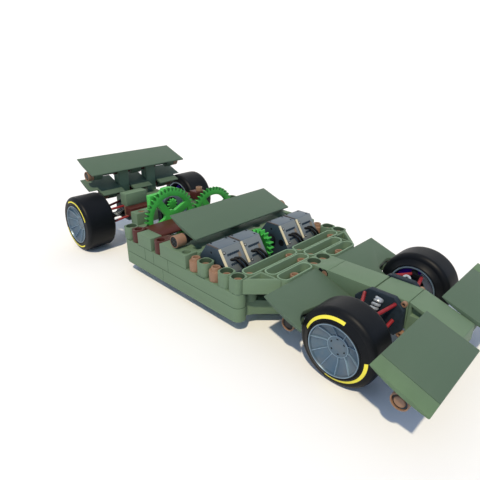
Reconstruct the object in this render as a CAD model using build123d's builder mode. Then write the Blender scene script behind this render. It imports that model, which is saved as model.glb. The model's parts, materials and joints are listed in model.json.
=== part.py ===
# Open wheel racing car, construction kit model.
# Frame: +Z up, the front of the car faces -Y, +X is the car's left side.
# Origin: on the ground, under the middle of the car's bounding box.
# Most places are written in pitches of the kit's grid and turned into
# millimetres by X(), Y() and Z().
import os
from math import atan2, cos, degrees, hypot, pi, radians, sin, sqrt

from build123d import *

os.makedirs("parts", exist_ok=True)

# ---------------------------------------------------------------- sizes
PITCH = 8.0            # hole pitch and beam height of the kit
Y_MID = 4.534          # grid row that lies over the origin
Z_GROUND = -0.85       # ground height in pitches below the chassis floor
GAP = 0.02             # pitch: joint gap between neighbouring pieces
PIN_HOLE_R = 2.4       # mm, pin holes in beams and plates
BUSH_R = 2.38          # mm, outside of a tan bushing standing in a hole
BUSH_BORE_R = 1.5      # mm
SEAT_Z = 2.70          # grid height of the seats round sunk bushings
BUSH_TOP = 2.76        # grid height of a sunk bushing's top

# chassis (pitches)
SIDE_X = 5.5           # beam centre line, left and right
CHASSIS_Y0, CHASSIS_Y1 = 0.0, 12.0   # first and last hole of the side beams
REAR_CROSS = (11.98, 12.5)

# wheels (pitches)
FRONT_AXLE = (-7.0, 1.43)     # y, z
REAR_AXLE = (19.0, 1.60)
FRONT_TYRE_R, FRONT_RIM_R = 2.28, 1.50
REAR_TYRE_R, REAR_RIM_R = 2.45, 1.68
FRONT_X = (3.30, 5.73)        # inner and outer tyre face
REAR_X = (4.30, 7.03)
KINGPIN_X = 3.45
STEER_ARM_Z = (0.60, 2.50)    # lower and upper ball joints
SHAFT_R = 2.0                 # mm, axles
RUN = 0.05                    # mm, radial running clearance

# wings: chord 3 pitches, 20 degrees
WING_CHORD = 3.0
WING_ANGLE = 20.0
WING_PIN_R = 1.5              # mm
WING_RISE = 0.88              # pitch: flat top above the mounting pin

# wing mounting pins: y, z
FRONT_WING_AXIS = (-11.0, 1.5)
MID_WING_AXIS = (-3.95, 1.5)
CENTRE_WING_AXIS = (6.0, 3.5)
LOWER_WING_AXIS = (20.0, 3.42)
UPPER_WING_AXIS = (20.0, 5.40)

# gears
BIG_TEETH = 40
DRIVE_TEETH = 18
PINION_TEETH = 10
PINION_MODULE = 0.085         # pitch
GEAR_L = (-2.20, 3.10)        # x, z of the left-hand big gear's shaft (car's right)
GEAR_R = (2.42, 2.24)
GEAR_DIST = hypot(GEAR_R[0] - GEAR_L[0], GEAR_R[1] - GEAR_L[1]) * PITCH
MODULE = GEAR_DIST / BIG_TEETH
GEAR_Y = (11.12, 11.44)       # front and rear face of the toothed rings
GUARD_Y = (11.50, 11.98)      # faces of the fixed guard behind the left-hand gear
DRIVE_X = (-0.5, 0.0)         # drive gear faces
MOTOR_AXIS = (3.0, 2.58)      # y, z


def X(x):
    return x * PITCH


def Y(y):
    return (y - Y_MID) * PITCH


def Z(z):
    return (z - Z_GROUND) * PITCH


# ------------------------------------------------------- small helpers
# Each helper draws one sketch on a named plane and extrudes it into the
# part that is open when it is called.
def box(x0, x1, y0, y1, z0, z1, mode=Mode.ADD):
    with BuildSketch(Plane.XY.offset(Z(z0))) as s:
        with Locations(((X(x0) + X(x1)) / 2, (Y(y0) + Y(y1)) / 2)):
            Rectangle(X(x1) - X(x0), Y(y1) - Y(y0))
    extrude(s.sketch, amount=(z1 - z0) * PITCH, mode=mode)


def beam(xa, ya, xb, yb, z0, z1, width=1.0, mode=Mode.ADD):
    """Round-ended beam from hole (xa, ya) to hole (xb, yb)."""
    ax, ay, bx, by = X(xa), Y(ya), X(xb), Y(yb)
    with BuildSketch(Plane.XY.offset(Z(z0))) as s:
        if abs(ax - bx) + abs(ay - by) < 1e-6:
            with Locations((ax, ay)):
                Circle(width * PITCH / 2)
        else:
            with Locations(((ax + bx) / 2, (ay + by) / 2)):
                SlotCenterToCenter(hypot(bx - ax, by - ay), width * PITCH,
                                   rotation=degrees(atan2(by - ay, bx - ax)))
    extrude(s.sketch, amount=(z1 - z0) * PITCH, mode=mode)


def poly(points, z0, z1, mode=Mode.ADD):
    """Upright prism on a plan outline of (x, y) grid points."""
    with BuildSketch(Plane.XY.offset(Z(z0))) as s:
        with BuildLine():
            Polyline(*[(X(x), Y(y)) for x, y in points], close=True)
        make_face()
    extrude(s.sketch, amount=(z1 - z0) * PITCH, mode=mode)


def side_poly(points, x0, x1, mode=Mode.ADD):
    """Prism along X on a side outline of (y, z) grid points."""
    with BuildSketch(Plane.YZ.offset(X(x0))) as s:
        with BuildLine():
            Polyline(*[(Y(y), Z(z)) for y, z in points], close=True)
        make_face()
    extrude(s.sketch, amount=(x1 - x0) * PITCH, mode=mode)


def posts(places, z0, z1, r, mode=Mode.ADD):
    """Upright round posts or holes of radius r mm."""
    with BuildSketch(Plane.XY.offset(Z(z0))) as s:
        with Locations(*[(X(x), Y(y)) for x, y in places]):
            Circle(r)
    extrude(s.sketch, amount=(z1 - z0) * PITCH, mode=mode)


def rod_x(y, z, x0, x1, r, mode=Mode.ADD):
    """Round bar or bore along X; x in pitches, r in mm."""
    with BuildSketch(Plane.YZ.offset(X(x0))) as s:
        with Locations((Y(y), Z(z))):
            Circle(r)
    extrude(s.sketch, amount=(x1 - x0) * PITCH, mode=mode)


def rod_y(x, z, y0, y1, r, mode=Mode.ADD):
    """Round bar or bore along Y."""
    with BuildSketch(Plane.XZ.offset(-Y(y0))) as s:
        with Locations((X(x), Z(z))):
            Circle(r)
    extrude(s.sketch, amount=-(y1 - y0) * PITCH, mode=mode)


def strut(a, b, r, mode=Mode.ADD):
    """Round bar between two grid points."""
    pa = Vector(X(a[0]), Y(a[1]), Z(a[2]))
    pb = Vector(X(b[0]), Y(b[1]), Z(b[2]))
    with BuildSketch(Plane(origin=pa, z_dir=(pb - pa))) as s:
        Circle(r)
    extrude(s.sketch, amount=(pb - pa).length, mode=mode)


def grid(x, ys):
    return [(x, y) for y in ys]


def both(places):
    return [(sx * x, y) for sx in (-1, 1) for x, y in places]


# ================================================================ chassis
with BuildPart() as side_beams_lower:
    for sx in (-1, 1):
        beam(sx * SIDE_X, CHASSIS_Y0, sx * SIDE_X, CHASSIS_Y1, 0, 1)
    posts(both(grid(SIDE_X, range(0, 13))), 0, 1, PIN_HOLE_R, Mode.SUBTRACT)

with BuildPart() as side_beams_upper:
    for sx in (-1, 1):
        beam(sx * SIDE_X, CHASSIS_Y0, sx * SIDE_X, CHASSIS_Y1, 1, 2)
    posts(both(grid(SIDE_X, range(0, 13))), 1, 2, PIN_HOLE_R, Mode.SUBTRACT)

# cross beams between the side beams: y from, y to
CROSS_BEAMS = ((1.55, 2.45), (3.55, 4.45), (7.55, 8.45), REAR_CROSS)
with BuildPart() as floor_cross_beams:
    for y0, y1 in CROSS_BEAMS:
        box(-5.0, 5.0, y0, y1, 0, 1)
        posts([(x, (y0 + y1) / 2) for x in (-4, -3, -1, 0, 1, 3, 4)],
              0, 1, PIN_HOLE_R, Mode.SUBTRACT)

# single posts on the side beams: hole row
POST_ROWS = (0, 1, 3, 12)
with BuildPart() as side_posts:
    for sx in (-1, 1):
        for y in POST_ROWS:
            with BuildSketch(Plane.XY.offset(Z(2))) as post_plan:
                with Locations((X(sx * SIDE_X), Y(y))):
                    RectangleRounded(0.97 * PITCH, 0.97 * PITCH, 0.3 * PITCH)
            extrude(post_plan.sketch, amount=PITCH)
    posts(both(grid(SIDE_X, POST_ROWS)), 2, 3, PIN_HOLE_R, Mode.SUBTRACT)
    posts(both(grid(SIDE_X, POST_ROWS)), SEAT_Z, 3, 0.41 * PITCH, Mode.SUBTRACT)

# longer blocks on the side beams: y from, y to
SIDE_BLOCKS = ((4.52, 7.48), (8.62, 10.38))
with BuildPart() as side_blocks:
    for sx in (-1, 1):
        for y0, y1 in SIDE_BLOCKS:
            box(sx * 5.5 - 0.5, sx * 5.5 + 0.5, y0, y1, 2, 3)
    posts(both(grid(SIDE_X, (5,))), 2, 3, PIN_HOLE_R, Mode.SUBTRACT)

# dark red-brown members
with BuildPart() as brown_beams:
    for sx in (-1, 1):
        beam(sx * 5.5, 8, sx * 4.85, 8, 2, 3, width=0.97)
        beam(sx * 5.5, 11, sx * 5.5, 11.001, 2, 3, width=0.97)
    posts(both([(5.5, 8), (5.5, 11)]), 2, 3, PIN_HOLE_R, Mode.SUBTRACT)

    # thin deck between the beams, its front edge rounded
    side_poly([(9.1, 2.62), (9.03, 2.74), (9.12, 2.88), (9.3, 2.97),
               (9.6, 3.0), (11.05, 3.0), (11.05, 2.68), (10.9, 2.62)],
              -4.97, 4.97)
    # frame behind the gears: one short rail and a cross beam
    box(2.52, 3.48, 15.02, 15.48, 2, 3)
    box(-1.98, 3.48, 15.5, 16.48, 2, 3)
    box(-3.4, -1.98, 15.6, 16.48, 2.3, 2.98)
    # one block stands on the left-hand rail only
    box(2.40, 3.55, 13.52, 14.48, 3.02, 3.72)
    posts([(3.15, 14)], 3.0, 4, PIN_HOLE_R, Mode.SUBTRACT)

# green cross plate behind the motors
with BuildPart() as motor_plate:
    box(-4.97, 4.97, 4.27, 7.45, 2, 3)
    posts([(x, y) for x in (-4.5, -1.5, 1.5, 4.5) for y in (5, 7)],
          2, 3, PIN_HOLE_R, Mode.SUBTRACT)

# ------------------------------------------------ honeycomb front plates
# round-ended troughs lie side by side; a trough's floor has a shallow
# dimple at every hole place and an open hole where a bushing stands
TROUGH_RIM = 0.11             # pitch, rim width
TROUGH_FLOOR = 2.45           # grid height of the floor
DIMPLE_R = 1.9                # mm


def trough(x0, x1, y, dimples, holes, corner=None):
    """Round-ended plate from x0 to x1 with a round-ended pocket in its top;
    corner names an end (x from, x to) whose rear corner is left square."""
    beam(x0 + 0.485, y, x1 - 0.485, y, 2, 3, width=0.97)
    if corner:
        box(*corner, y, y + 0.485, 2, 3)
    beam(x0 + 0.485, y, x1 - 0.485, y, TROUGH_FLOOR, 3,
         width=0.97 - 2 * TROUGH_RIM, mode=Mode.SUBTRACT)
    posts([(x, y) for x in dimples], TROUGH_FLOOR - 0.12, 3, DIMPLE_R,
          Mode.SUBTRACT)
    posts([(x, y) for x in holes], 2, 3, PIN_HOLE_R, Mode.SUBTRACT)


with BuildPart() as front_plate_row_a:
    trough(-4.97, -0.01, 0, (-3.5, -2.5, -1.5), (-4.5, -0.5))
    trough(0.01, 4.97, 0, (1.5, 2.5, 3.5), (0.5, 4.5))

with BuildPart() as front_plate_row_b:
    trough(-3.98, -0.01, -1, (-3.5, -2.5, -1.5), (-0.5,))
    trough(0.01, 3.98, -1, (1.5, 2.5, 3.5), (0.5,))

with BuildPart() as front_plate_row_c:
    trough(-3.98, -1.02, -2, (-3.5,), (-2.5, -1.5), (-1.5, -1.02))
    trough(1.02, 3.98, -2, (3.5,), (2.5, 1.5), (1.02, 1.5))

with BuildPart() as front_corner_plates:
    for sx in (-1, 1):
        poly([(sx * 5.66, -0.52), (sx * 4.02, -0.52), (sx * 4.02, -2.16)], 2, 3)
        poly([(sx * 5.22, -0.66), (sx * 4.16, -0.66), (sx * 4.16, -1.72)],
             2.3, 3, Mode.SUBTRACT)

with BuildPart() as front_floor_plate:
    poly([(-4.97, 0.48), (4.97, 0.48), (4.97, -0.1), (4.4, -0.4),
          (2.35, -2.45), (-2.35, -2.45), (-4.4, -0.4), (-4.97, -0.1)], 0, 1)
    posts([(x, 0) for x in (-3.5, -1.5, 1.5, 3.5)]
          + [(x, -1) for x in (-2.5, -0.5, 0.5, 2.5)],
          0, 1, PIN_HOLE_R, Mode.SUBTRACT)

with BuildPart() as front_spacer_posts:
    for x, y in both([(4.47, 0), (2.5, -1), (0.7, 0)]):
        beam(x, y, x, y + 0.001, 1, 2, width=0.9)

# ================================================================ nose
with BuildPart() as nose_root:
    box(-1, 1, -3.4, -1.52, 1, 3)
    posts([(-0.5, -2), (0.5, -2)], 2.2, 3, PIN_HOLE_R, Mode.SUBTRACT)
    posts([(-0.5, -2), (0.5, -2)], SEAT_Z, 3, 0.44 * PITCH, Mode.SUBTRACT)

with BuildPart() as nose_beam:
    box(-1, 1, -6.48, -3.42, 1, 3)
    rod_x(*MID_WING_AXIS, -1.1, 1.1, WING_PIN_R + 0.02, Mode.SUBTRACT)

with BuildPart() as nose_cap:
    box(-1, 1, -8.6, -6.56, 1.2, 3)

with BuildPart() as nose_tip:
    side_poly([(-8.63, 3), (-8.63, 1), (-11.5, 1), (-11.5, 2)], -1, 1)
    for s in (-1, 1):
        side_poly([(-8.78, 2.75), (-8.78, 2.2), (-9.35, 2.2), (-9.35, 2.52)],
                  min(s * 0.75, s * 1.1), max(s * 0.75, s * 1.1),
                  Mode.SUBTRACT)
    rod_x(*FRONT_WING_AXIS, -1.1, 1.1, WING_PIN_R + 0.02, Mode.SUBTRACT)

# ================================================================ wings
# Section: flat top, rounded nose, gently bowed underside.  Its place is
# the middle of the flat top; it is turned by the wing's angle.
def wing(yc, zc, x0, x1, mode=Mode.ADD):
    """Wing whose mounting axis is at (yc, zc)."""
    c, t = WING_CHORD * PITCH, 0.25 * PITCH
    a = radians(WING_ANGLE)
    top = (Y(yc), Z(zc) + WING_RISE * PITCH)

    def at(u, v):          # u back along the chord, v up from the flat top
        return (top[0] + u * cos(a) - v * sin(a), top[1] + u * sin(a) + v * cos(a))

    with BuildSketch(Plane.YZ.offset(X(x0))) as s:
        with BuildLine():
            Line(at(c / 2, 0), at(-c / 2 + 0.5, 0))
            ThreePointArc(at(-c / 2 + 0.5, 0), at(-c / 2, -0.6), at(-c / 2 + 0.65, -1.25))
            ThreePointArc(at(-c / 2 + 0.65, -1.25), at(-c * 0.12, -t), at(c / 2, -0.45))
            Line(at(c / 2, -0.45), at(c / 2, 0))
        make_face()
    extrude(s.sketch, amount=(x1 - x0) * PITCH, mode=mode)


def lugs(yc, zc, ranges):
    """Pin barrels under a wing, with a neck up into the wing: x from, x to."""
    for x0, x1 in ranges:
        rod_x(yc, zc, x0, x1, 0.46 * PITCH)
        box(x0, x1, yc - 0.3, yc + 0.3, zc, zc + 0.6)
        rod_x(yc, zc, x0 - 0.01, x1 + 0.01, WING_PIN_R + 0.02, Mode.SUBTRACT)


with BuildPart() as front_wings:
    for s in (-1, 1):
        wing(*FRONT_WING_AXIS, min(s * 1.02, s * 5.98), max(s * 1.02, s * 5.98))
        lugs(*FRONT_WING_AXIS, [(min(s * 1.02, s * 1.9), max(s * 1.02, s * 1.9)),
                                (min(s * 4.9, s * 5.9), max(s * 4.9, s * 5.9))])

with BuildPart() as front_wing_ends:
    for s in (-1, 1):
        wing(*FRONT_WING_AXIS, min(s * 6.0, s * 7.0), max(s * 6.0, s * 7.0))

WHEEL_ROOM = ((3.0, -5.8), (3.0, -5.5), (3.17, -5.06), (3.25, -4.78),
              (3.5, -4.59), (4.8, -4.42), (5.1, -4.49), (5.42, -4.7),
              (5.7, -5.03), (6.1, -5.3), (6.1, -5.8))
with BuildPart() as mid_wings:
    for s in (-1, 1):
        wing(*MID_WING_AXIS, min(s * 1.02, s * 5.98), max(s * 1.02, s * 5.98))
        lugs(*MID_WING_AXIS, [(min(s * 1.02, s * 1.9), max(s * 1.02, s * 1.9))])
        # room for the steered tyre
        poly([(s * x, y) for x, y in WHEEL_ROOM], 0.8, 3, Mode.SUBTRACT)
        lugs(*MID_WING_AXIS, [(min(s * 4.6, s * 5.2), max(s * 4.6, s * 5.2))])

with BuildPart() as centre_wing:
    wing(*CENTRE_WING_AXIS, -4.98, 4.98)
    lugs(*CENTRE_WING_AXIS, [(-0.5, 0.5)])

# three sections with the struts between them
with BuildPart() as rear_lower_wing:
    wing(*LOWER_WING_AXIS, -4.98, 4.98)
    lugs(*LOWER_WING_AXIS, [(-3.2, -2.4), (-0.5, 0.5), (2.4, 3.2)])
    for s in (-1, 1):
        box(s * 1.5 - 0.51, s * 1.5 + 0.51, 18.0, 22.0, 3, 5.6, Mode.SUBTRACT)
        rod_x(*REAR_AXLE, min(s * 4.2, s * 5.1), max(s * 4.2, s * 5.1),
              (REAR_TYRE_R + 0.1) * PITCH, Mode.SUBTRACT)

with BuildPart() as rear_upper_wing:
    wing(*UPPER_WING_AXIS, -4.98, 4.98)
    lugs(*UPPER_WING_AXIS, [(-4.4, -3.6), (-0.5, 0.5), (3.6, 4.4)])

with BuildPart() as rear_wing_struts:
    for s in (-1, 1):
        box(s * 1.5 - 0.49, s * 1.5 + 0.49, 19.51, 20.49, 2, 5.72)
    for axis in (LOWER_WING_AXIS, UPPER_WING_AXIS):
        rod_x(*axis, -2.1, 2.1, WING_PIN_R + 0.02, Mode.SUBTRACT)

with BuildPart() as wing_pins:
    rod_x(*FRONT_WING_AXIS, -6.1, 6.1, WING_PIN_R)
    rod_x(*MID_WING_AXIS, -5.3, 5.3, WING_PIN_R)
    rod_x(*CENTRE_WING_AXIS, -5.6, 5.6, WING_PIN_R)
    rod_x(*LOWER_WING_AXIS, -3.9, 3.9, WING_PIN_R)
    rod_x(*UPPER_WING_AXIS, -4.8, 4.8, WING_PIN_R)

# tan bushings on the wing pins: axis, x from, x to (mirrored)
WING_BUSHINGS = (
    (FRONT_WING_AXIS, 6.1, 6.7),
    (MID_WING_AXIS, 5.22, 5.55),
    (CENTRE_WING_AXIS, 4.2, 5.8),
    (LOWER_WING_AXIS, 3.25, 3.9),
    (UPPER_WING_AXIS, 4.42, 4.95),
)
with BuildPart() as wing_bushings:
    for (yc, zc), x0, x1 in WING_BUSHINGS:
        for s in (-1, 1):
            a, b = min(s * x0, s * x1), max(s * x0, s * x1)
            rod_x(yc, zc, a, b, 0.44 * PITCH)
            rod_x(yc, zc, a - 0.01, b + 0.01, WING_PIN_R + 0.02, Mode.SUBTRACT)

# ============================================================== bushings
# upright tan bushings: x, y, bottom z, top z (mirrored left and right)
BUSHINGS = (
    (5.5, 0, 2.0, BUSH_TOP), (5.5, 1, 2.0, BUSH_TOP), (5.5, 3, 2.0, BUSH_TOP),
    (5.5, 12, 2.0, BUSH_TOP),
    (4.5, 0, 2.0, BUSH_TOP), (0.5, 0, 2.0, BUSH_TOP), (0.5, -1, 2.0, BUSH_TOP),
    (2.5, -2, 2.0, BUSH_TOP),
)
with BuildPart() as bushings:
    for x, y, z0, z1 in BUSHINGS:
        for s in (-1, 1):
            posts([(s * x, y)], z0, z1, BUSH_R)
            posts([(s * x, y)], z0, z1, BUSH_BORE_R, Mode.SUBTRACT)
    for s in (-1, 1):
        # long ones stand bare on the beam: collar and inner tube
        for y in (2, 4):
            posts([(s * 5.5, y)], 2.0, 2.72, 0.46 * PITCH)
            posts([(s * 5.5, y)], 2.0, 2.95, 0.3 * PITCH)
            posts([(s * 5.5, y)], 2.0, 2.95, BUSH_BORE_R, Mode.SUBTRACT)
        posts([(s * 0.5, -2)], 2.2, BUSH_TOP, BUSH_R)
        posts([(s * 0.5, -2)], 2.2, BUSH_TOP, BUSH_BORE_R, Mode.SUBTRACT)
        posts([(s * 2.81, 17)], 2.0, 2.98, 0.34 * PITCH)
        posts([(s * 2.81, 17)], 2.0, 2.98, BUSH_BORE_R, Mode.SUBTRACT)
    # one stands in the right-hand rear beam, one on the left-hand block
    for x, y, z0, z1 in ((-3, 14.5, 2.0, 2.93), (3.15, 14, 3.1, 4.05)):
        posts([(x, y)], z0, z1, BUSH_R)
        posts([(x, y)], z0, z1, BUSH_BORE_R, Mode.SUBTRACT)

# ================================================================ motors
MOTOR_SIDE = ((1.42, 2.34), (2.38, 3.83), (3.55, 3.83), (4.22, 2.88),
              (4.22, 2.1), (3.9, 1.0), (2.1, 1.0), (1.42, 1.75))
MOTOR_X = {"outer": (3.01, 4.95), "inner": (1.05, 2.99)}


def motor(x0, x1):
    side_poly(MOTOR_SIDE, x0, x1)
    rod_x(*MOTOR_AXIS, x0 - 0.01, x1 + 0.01, SHAFT_R + RUN, Mode.SUBTRACT)


with BuildPart() as outer_motors:
    motor(MOTOR_X["outer"][0], MOTOR_X["outer"][1])
    motor(-MOTOR_X["outer"][1], -MOTOR_X["outer"][0])

with BuildPart() as inner_motors:
    motor(MOTOR_X["inner"][0], MOTOR_X["inner"][1])
    motor(-MOTOR_X["inner"][1], -MOTOR_X["inner"][0])

# two leads leave the sloping front of every motor sideways, bend forward
# and run down to the cross beam; places from the motor's right-hand end
LEAD_R = 0.7      # mm
LEAD_PATH = ((0.62, 1.95, 3.0), (0.98, 1.72, 3.06), (1.10, 1.30, 2.78),
             (1.28, 1.02, 2.2), (1.28, 1.02, 1.4), (1.28, 1.62, 1.12))
with BuildPart() as motor_leads:
    for end in (-4.95, -2.99, 1.05, 3.01):
        for step in (0.0, 0.34):
            with BuildLine() as lead_path:
                FilletPolyline(*[(X(end + step + x), Y(y), Z(z))
                                 for x, y, z in LEAD_PATH],
                               radius=0.16 * PITCH)
            lead_start = lead_path.line @ 0
            lead_dir = lead_path.line % 0
            with BuildSketch(Plane(origin=lead_start, z_dir=lead_dir)) as lead_round:
                Circle(LEAD_R)
            sweep(lead_round.sketch, path=lead_path.line)

# ================================================================= gears
def gear_outline(teeth, turn, cx=0.0, cy=0.0, module=MODULE):
    """Points of a straight-sided gear about (cx, cy), with a tooth centred
    on angle turn."""
    pts = []
    rp = module * teeth / 2
    ra, rf = rp + 0.95 * module, rp - 1.2 * module
    step = 2 * pi / teeth
    for i in range(teeth):
        a = turn + i * step
        for r, part in ((rf, -0.34), (ra, -0.11), (ra, 0.11), (rf, 0.34)):
            pts.append((cx + r * cos(a + part * step), cy + r * sin(a + part * step)))
    return pts


MESH = atan2(GEAR_R[1] - GEAR_L[1], GEAR_R[0] - GEAR_L[0])
RIM_INNER = 1.80 * PITCH
HUB_R = 0.62 * PITCH
SPOKES = (25, 127, 205, 307)  # degrees


def big_gear(x, z, turn):
    plane = Plane.XZ.offset(-Y(GEAR_Y[0]))
    with BuildSketch(plane) as wheel:
        with BuildLine():
            Polyline(*gear_outline(BIG_TEETH, turn, X(x), Z(z)), close=True)
        make_face()
        with Locations((X(x), Z(z))):
            Circle(RIM_INNER, mode=Mode.SUBTRACT)
            Circle(HUB_R)
        for angle in SPOKES:
            a = radians(angle)
            with Locations(Location((X(x) + 1.2 * PITCH * cos(a),
                                     Z(z) + 1.2 * PITCH * sin(a)), angle)):
                Rectangle(1.4 * PITCH, 0.58 * PITCH)
    extrude(wheel.sketch, amount=-(GEAR_Y[1] - GEAR_Y[0]) * PITCH)


with BuildPart() as gear_left:
    big_gear(*GEAR_L, MESH)
    rod_y(*GEAR_L, GEAR_Y[0], 12.6, SHAFT_R)

with BuildPart() as gear_right:
    big_gear(*GEAR_R, MESH + pi + pi / BIG_TEETH)
    rod_y(*GEAR_R, GEAR_Y[0], 12.6, SHAFT_R)

# fixed guard behind the left-hand gear: an arc with a square corner, held
# on the bearing block by a flat arm
GUARD_R = (2.14, 2.42)        # pitch
GUARD_CORNER = ((-2.80, 5.20), (-3.92, 5.16), (-3.92, 4.05), (-3.58, 4.05))
with BuildPart() as gear_guard:
    outer = [(GEAR_L[0] + GUARD_R[1] * cos(radians(a)),
              GEAR_L[1] + GUARD_R[1] * sin(radians(a))) for a in range(50, 104, 6)]
    inner = [(GEAR_L[0] + GUARD_R[0] * cos(radians(a)),
              GEAR_L[1] + GUARD_R[0] * sin(radians(a))) for a in range(128, 49, -6)]
    with BuildSketch(Plane.XZ.offset(-Y(GUARD_Y[0]))) as guard_side:
        with BuildLine():
            Polyline(*[(X(x), Z(z)) for x, z in (*outer, *GUARD_CORNER, *inner)],
                     close=True)
        make_face()
    extrude(guard_side.sketch, amount=-(GUARD_Y[1] - GUARD_Y[0]) * PITCH)
    arm = radians(119)
    with BuildSketch(Plane.XZ.offset(-Y(11.88))) as guard_arm:
        with Locations(Location((X(GEAR_L[0] + 1.29 * cos(arm)),
                                 Z(GEAR_L[1] + 1.29 * sin(arm))), 119)):
            Rectangle(1.86 * PITCH, 0.4 * PITCH)
    extrude(guard_arm.sketch, amount=-(11.98 - 11.88) * PITCH)

with BuildPart() as drive_gear:
    with BuildSketch(Plane.YZ.offset(X(DRIVE_X[0]))) as drive_wheel:
        with BuildLine():
            Polyline(*gear_outline(DRIVE_TEETH, 0, Y(MOTOR_AXIS[0]),
                                   Z(MOTOR_AXIS[1])), close=True)
        make_face()
        with Locations((Y(MOTOR_AXIS[0]), Z(MOTOR_AXIS[1]))):
            Circle(SHAFT_R, mode=Mode.SUBTRACT)
    extrude(drive_wheel.sketch, amount=(DRIVE_X[1] - DRIVE_X[0]) * PITCH)

with BuildPart() as motor_shaft:
    rod_x(*MOTOR_AXIS, -4.9, 4.9, SHAFT_R)
    rod_x(*MOTOR_AXIS, 0.55, 0.98, 0.45 * PITCH)

# bearing blocks of the big gears: x, z, y from, y to, foot z
BEARINGS = (
    (GEAR_L, 11.98, 12.5, 1.0), (GEAR_R, 11.98, 12.5, 1.0),
)
with BuildPart() as gear_bearings:
    for (x, z), y0, y1, foot in BEARINGS:
        box(x - 0.42, x + 0.42, y0, y1, foot, z + 0.42)
    for (x, z), y0, y1, foot in BEARINGS:
        rod_y(x, z, y0 - 0.05, y1 + 0.05, SHAFT_R + RUN, Mode.SUBTRACT)

# ============================================================== rear frame
with BuildPart() as rear_rails_lower:
    for s in (-1, 1):
        box(s * 3.35 - 0.48, s * 3.35 + 0.48, 12.48, 14.95, 1, 1.98)

with BuildPart() as rear_rails_upper:
    box(-3.75, -1.62, 14.02, 14.98, 2, 3)
    box(2.52, 3.48, 13.52, 14.98, 2, 3)
    posts([(-3, 14.5), (-2.1, 14.5), (3, 14)], 2, 3, PIN_HOLE_R, Mode.SUBTRACT)
    box(-3.2, -1.02, 16.52, 17.48, 3, 4.1)

with BuildPart() as tail_block:
    box(-1.98, 1.98, 16.52, 20.48, 1, 2)
    box(-1.98, 1.98, 16.52, 19.4, 2, 2.98)
    rod_x(*REAR_AXLE, -2.1, 2.1, SHAFT_R + 0.6, Mode.SUBTRACT)

GEARBOX_END = ((-0.7, 2.5), (-0.35, 2.15), (1.25, 2.15), (1.6, 2.5),
               (1.6, 3.5), (1.25, 3.85), (-0.35, 3.85), (-0.7, 3.5))
PINION_AXIS = (-0.38, 3.28)   # x, z
with BuildPart() as rear_gearbox:
    with BuildSketch(Plane.XZ.offset(-Y(13.9))) as gearbox_end:
        with BuildLine():
            Polyline(*[(X(x), Z(z)) for x, z in GEARBOX_END], close=True)
        make_face()
    extrude(gearbox_end.sketch, amount=-(15.48 - 13.9) * PITCH)

# small pinion in front of a round hub
with BuildPart() as gearbox_pinion:
    with BuildSketch(Plane.XZ.offset(-Y(13.4))) as pinion_end:
        with BuildLine():
            Polyline(*gear_outline(PINION_TEETH, 0, X(PINION_AXIS[0]),
                                   Z(PINION_AXIS[1]), PINION_MODULE * PITCH),
                     close=True)
        make_face()
    extrude(pinion_end.sketch, amount=-(13.62 - 13.4) * PITCH)
    rod_y(*PINION_AXIS, 13.62, 13.88, 0.6 * PITCH)

# ============================================================= suspension
FRONT_BLOCK = ((-5.6, 2.35), (-6.45, 3.1), (-7.95, 3.1), (-8.55, 2.5),
               (-8.6, 1.3), (-8.2, 0.8), (-6.3, 0.8), (-5.6, 1.5))
with BuildPart() as front_suspension_blocks:
    side_poly(FRONT_BLOCK, -1.4, -1.02)
    side_poly(FRONT_BLOCK, 1.02, 1.4)

REAR_BLOCK = ((17.3, 2.3), (17.9, 2.85), (19.3, 2.85), (19.95, 2.3),
              (19.95, 1.45), (19.4, 1.1), (17.8, 1.1), (17.3, 1.55))
with BuildPart() as rear_suspension_blocks:
    side_poly(REAR_BLOCK, -2.4, -2.0)
    side_poly(REAR_BLOCK, 2.0, 2.4)
    for s in (-1, 1):
        rod_x(*REAR_AXLE, min(s * 1.9, s * 2.5), max(s * 1.9, s * 2.5),
              SHAFT_R + 0.6, Mode.SUBTRACT)

# arms: pairs of rods; the front ones meet a plate with the kingpin's eye
ARM_R = 0.85      # mm
EYE_R = 1.6       # mm
FRONT_ARMS = ((2.75, STEER_ARM_Z[1]), (1.75, STEER_ARM_Z[0]))   # inner z, outer z
FRONT_RODS = ((-6.2, 3.24, -6.92), (-8.05, 3.06, -7.62))        # inner y, outer x, outer y
EYE_PLATE = ((3.42, -6.86), (3.18, -6.84), (2.97, -7.6), (3.08, -7.72), (3.4, -7.12))
with BuildPart() as front_wishbones:
    for s in (-1, 1):
        for zi, zo in FRONT_ARMS:
            for yi, xo, yo in FRONT_RODS:
                strut((s * 1.4, yi, zi), (s * xo, yo, zo), ARM_R)
            poly([(s * x, y) for x, y in EYE_PLATE], zo - 0.1, zo + 0.1)
            posts([(s * KINGPIN_X, -7.0)], zo - 0.12, zo + 0.12, EYE_R)
        for zi, zo in FRONT_ARMS:
            posts([(s * KINGPIN_X, -7.0)], zo - 0.4, zo + 0.4, 1.0 + RUN,
                  Mode.SUBTRACT)

# inner y, z and outer y, z of each rod
REAR_RODS = ((17.95, 2.62, 18.62, 2.30), (19.30, 2.68, 19.0, 2.42),
             (17.75, 1.62, 18.72, 0.90), (19.50, 1.40, 19.15, 0.90))
with BuildPart() as rear_wishbones:
    for s in (-1, 1):
        for yi, zi, yo, zo in REAR_RODS:
            strut((s * 2.4, yi, zi), (s * 4.6, yo, zo), ARM_R)

with BuildPart() as rear_uprights:
    for s in (-1, 1):
        box(s * 4.75 - 0.15, s * 4.75 + 0.15, 18.5, 19.3, 0.7, 2.6)
        rod_x(*REAR_AXLE, s * 4.75 - 0.15, s * 4.75 + 0.15, 0.55 * PITCH)
        rod_x(*REAR_AXLE, s * 4.75 - 0.2, s * 4.75 + 0.2, SHAFT_R + RUN,
              Mode.SUBTRACT)

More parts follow.
